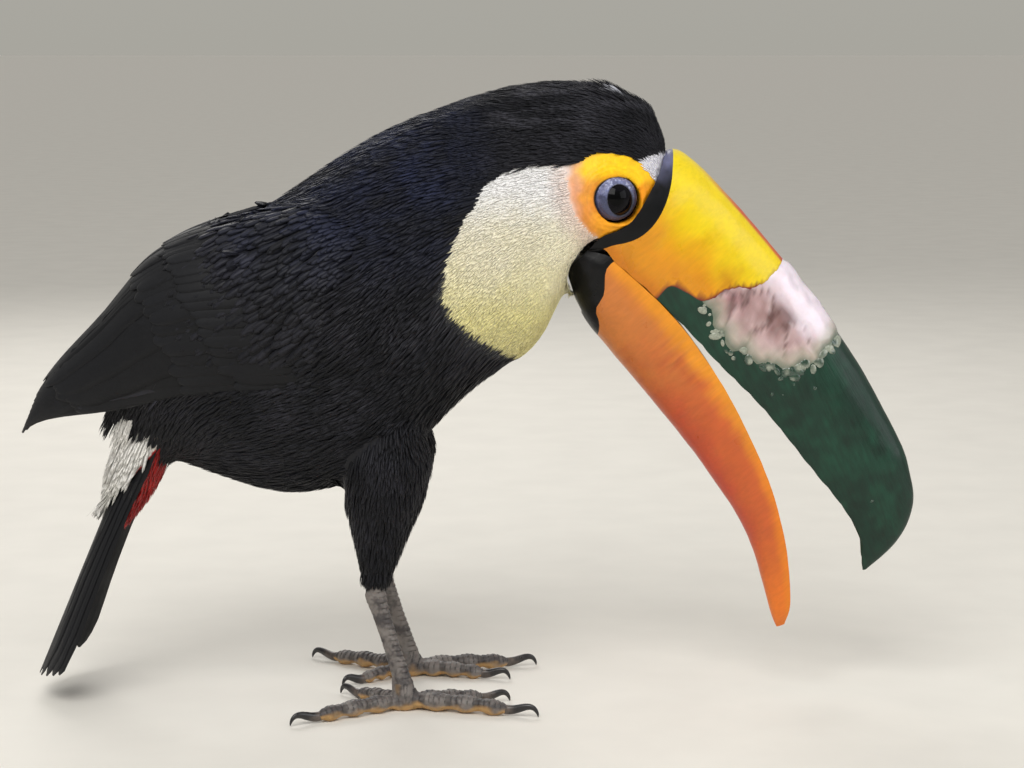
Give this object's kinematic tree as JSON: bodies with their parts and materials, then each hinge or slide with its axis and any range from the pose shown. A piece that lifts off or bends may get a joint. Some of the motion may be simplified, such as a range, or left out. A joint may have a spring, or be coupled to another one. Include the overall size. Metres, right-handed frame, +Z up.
{
  "type": "toucan model",
  "caption": "Life-size standing toco toucan with bowed head, open bill and a printed plastic bill tip, a still model for display and reference.",
  "frame": {"origin": "on the floor under the middle of the bird's overall box, on its plane of symmetry", "axes": "+X the way the bird faces, towards the bill tip; +Y towards its left side; +Z up"},
  "size_m": [0.3728, 0.1106, 0.2577],
  "materials": {
    "body_black": "matte",
    "bib_white": "matte",
    "feather_black": "matte",
    "feather_white": "matte",
    "feather_red": "matte",
    "orbital_skin": "satin",
    "eyelid_blue": "satin",
    "eye": "gloss",
    "bill_yellow": "satin",
    "bill_orange": "satin",
    "bill_black": "satin",
    "cement": "satin",
    "printed_plastic": "satin",
    "tongue": "satin",
    "leg_skin": "matte",
    "claw": "satin"
  },
  "bodies": {
    "root": {"bib": "bib_white", "bill_cement": "cement", "bill_lower": "bill_orange", "bill_lower_band": "bill_black", "bill_prosthesis": "printed_plastic", "bill_upper": "bill_yellow", "bill_upper_band": "bill_black", "claw_left_inner_back": "claw", "claw_left_inner_front": "claw", "claw_left_outer_back": "claw", "claw_left_outer_front": "claw", "claw_right_inner_back": "claw", "claw_right_inner_front": "claw", "claw_right_outer_back": "claw", "claw_right_outer_front": "claw", "crissum": "feather_red", "eye_left": "eye", "eye_right": "eye", "eyelid_left": "eyelid_blue", "eyelid_right": "eyelid_blue", "flight_feathers_left": "feather_black", "flight_feathers_right": "feather_black", "head": "body_black", "neck": "body_black", "orbital_skin_left": "orbital_skin", "orbital_skin_right": "orbital_skin", "tail": "feather_black", "tail_coverts_upper": "feather_white", "tarsus_left": "leg_skin", "tarsus_right": "leg_skin", "thigh_left": "body_black", "thigh_right": "body_black", "toe_left_inner_back": "leg_skin", "toe_left_inner_front": "leg_skin", "toe_left_outer_back": "leg_skin", "toe_left_outer_front": "leg_skin", "toe_right_inner_back": "leg_skin", "toe_right_inner_front": "leg_skin", "toe_right_outer_back": "leg_skin", "toe_right_outer_front": "leg_skin", "tongue": "tongue", "trunk": "body_black", "wing_left": "feather_black", "wing_right": "feather_black"}
  },
  "joints": []
}
